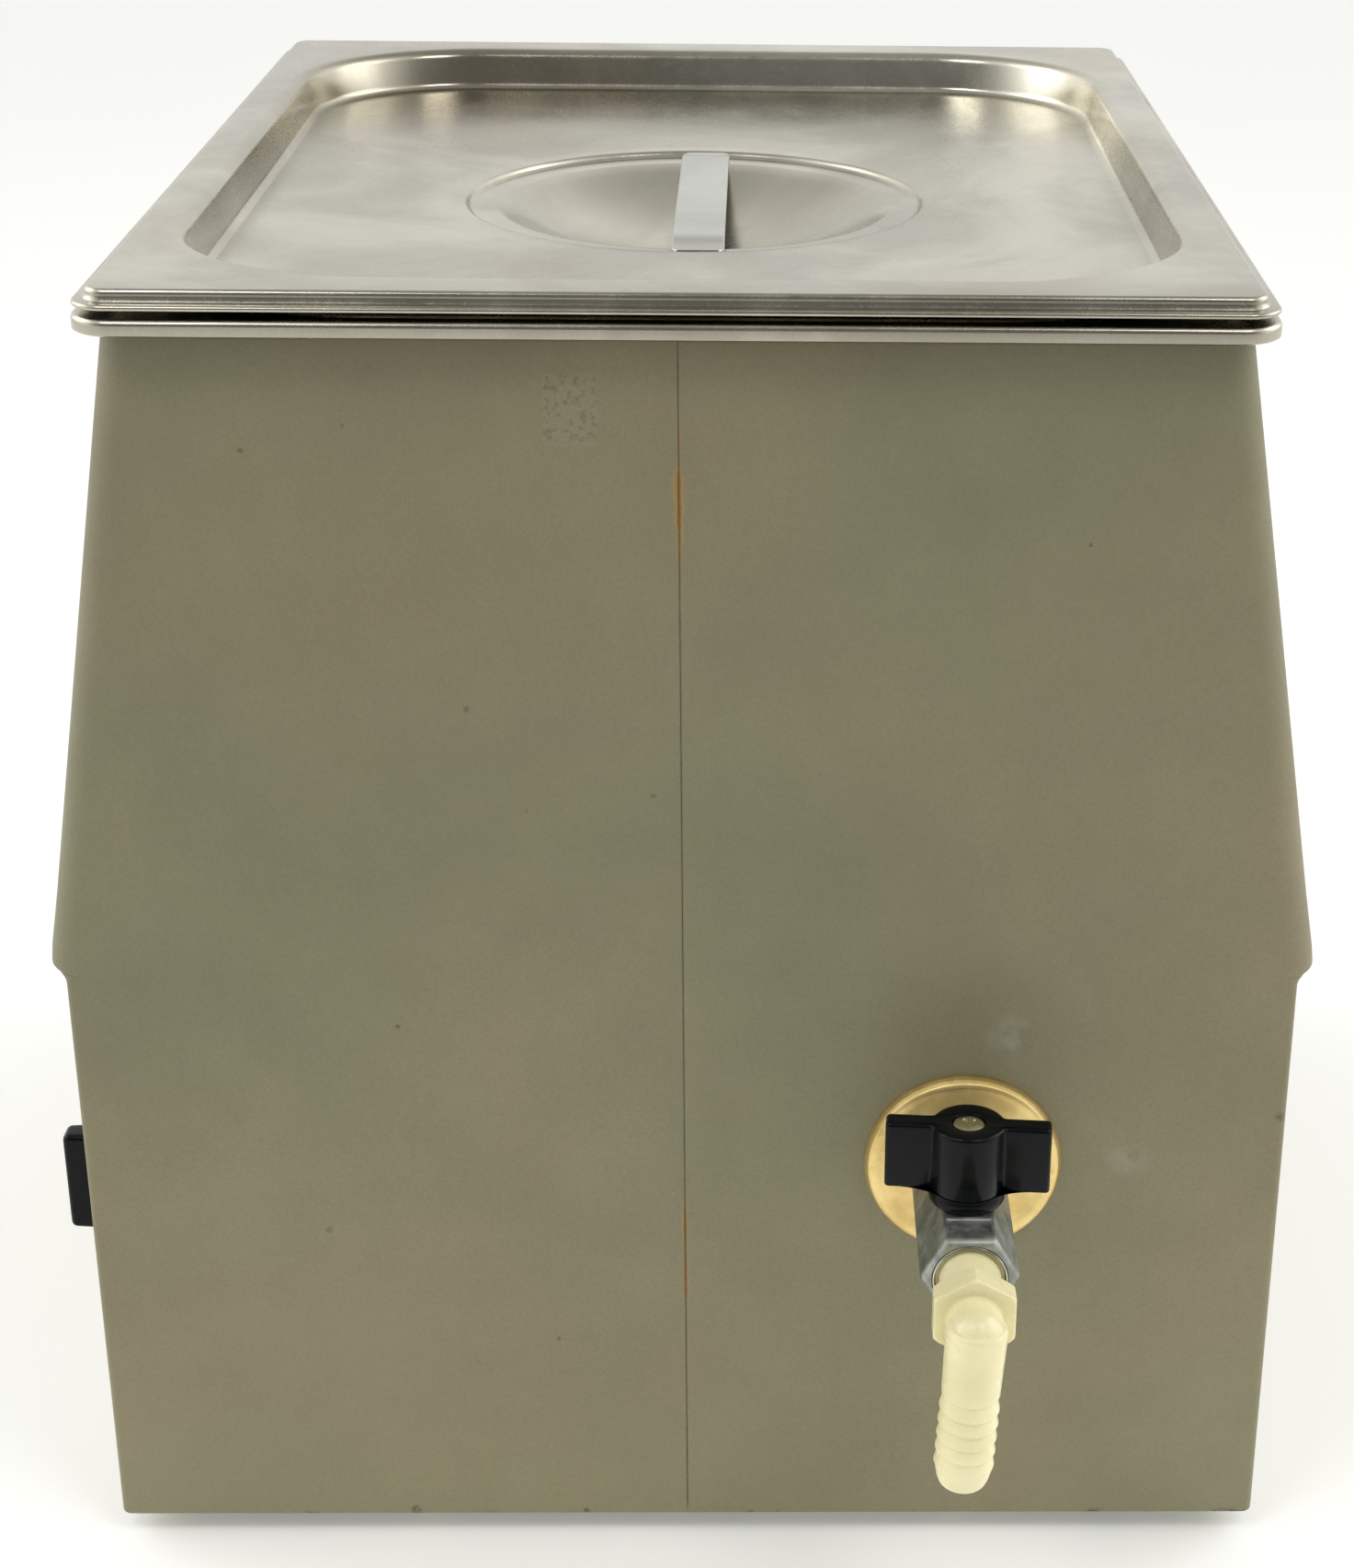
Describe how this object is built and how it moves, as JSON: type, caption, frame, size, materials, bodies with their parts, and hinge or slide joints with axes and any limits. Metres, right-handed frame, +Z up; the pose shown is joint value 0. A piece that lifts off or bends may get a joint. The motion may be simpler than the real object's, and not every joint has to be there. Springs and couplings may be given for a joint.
{
  "type": "water bath",
  "caption": "Bench water bath with a drawn steel tank, sunken lid with a strap handle, tapered painted housing and an end drain ball valve with a hose elbow.",
  "frame": {"origin": "on the surface the bath stands on, below the centre of its bounding box", "axes": "+X along the tank towards the end with the drain valve, -Y towards the control front, +Z up"},
  "size_m": [0.3996, 0.324, 0.3364],
  "materials": {
    "paint": "olive-taupe powder coat, fine orange peel, worn",
    "lid_steel": "drawn stainless steel, water-stained satin",
    "tank_steel": "drawn stainless steel, satin",
    "strap_steel": "bright satin stainless strip",
    "sheet_zinc": "zinc-plated sheet",
    "valve_metal": "dull nickel-plated cast metal",
    "bright_metal": "bright plated",
    "brass": "turned brass, lightly tarnished",
    "copper": "copper tube",
    "screw_steel": "nickel-plated steel",
    "black_plastic": "glossy black phenolic",
    "matt_black": "matt black moulding",
    "red_plastic": "red moulding",
    "amber_lens": "amber lens",
    "grey_plastic": "light grey moulding",
    "ivory_plastic": "ivory moulding",
    "nylon": "natural nylon",
    "ptfe": "white seal plastic",
    "rubber": "black rubber",
    "insulation": "white ceramic fibre blanket",
    "heater_silicone": "orange silicone heater pad",
    "wire_cover": "grey wire insulation"
  },
  "bodies": {
    "housing": {"front_shell": "paint", "rear_shell": "paint", "joint_strips": "sheet_zinc", "base_plate": "sheet_zinc", "base_screws": "screw_steel", "feet": "rubber", "foot_screws": "screw_steel", "rim_gasket": "rubber", "tank": "tank_steel", "insulation": "insulation", "diffuser_shelf": "tank_steel", "heater_pad": "heater_silicone", "heater_plate": "sheet_zinc", "heater_studs": "screw_steel", "heater_nuts": "screw_steel", "heater_insulation": "insulation", "drain_flange": "brass", "drain_gasket": "rubber", "drain_nut": "brass", "drain_hose": "rubber", "hose_clamps": "screw_steel", "bulkhead_nipple": "brass", "bulkhead_nut": "brass", "escutcheon": "brass", "valve_body": "valve_metal", "valve_insert": "bright_metal", "valve_seats": "ptfe", "hose_elbow": "nylon", "scale_plate": "sheet_zinc", "thermostat": "grey_plastic", "thermostat_nut": "screw_steel", "thermostat_bulb": "copper", "bulb_clips": "screw_steel", "thermal_cutout": "matt_black", "switch_body": "matt_black", "switch_pin": "screw_steel", "pilot_lamp": "bright_metal", "lamp_lens": "amber_lens", "power_inlet": "matt_black", "inlet_pins": "bright_metal", "inlet_screws": "screw_steel", "fuse_holder": "matt_black", "fuse_cap": "matt_black", "terminal_block": "ivory_plastic", "wiring": "wire_cover"},
    "lid": {"lid": "lid_steel", "lid_strap": "strap_steel"},
    "valve_handle": {"valve_handle": "black_plastic", "handle_screw": "screw_steel", "valve_stem": "bright_metal", "stem_seal": "rubber", "valve_ball": "bright_metal"},
    "temperature_knob": {"thermostat_knob": "black_plastic", "thermostat_shaft": "screw_steel"},
    "power_rocker": {"switch_rocker": "red_plastic"}
  },
  "joints": [
    {"name": "lid_lift", "type": "slide", "parent": "housing", "child": "lid", "axis": [0, 0, 1], "range_m": [0, 0.15]},
    {"name": "valve_turn", "type": "hinge", "parent": "housing", "child": "valve_handle", "pos_m": [0.15027, 0.07525, 0.115], "axis": [0, 0, 1], "range_deg": [0, 90]},
    {"name": "knob_turn", "type": "hinge", "parent": "housing", "child": "temperature_knob", "pos_m": [0.05967, -0.14195, 0.075], "axis": [0, 1, 0], "range_deg": [0, 300]},
    {"name": "rocker_tip", "type": "hinge", "parent": "housing", "child": "power_rocker", "pos_m": [-0.13232, -0.13995, 0.075], "axis": [-1, 0, 0], "range_deg": [0, 16]}
  ]
}
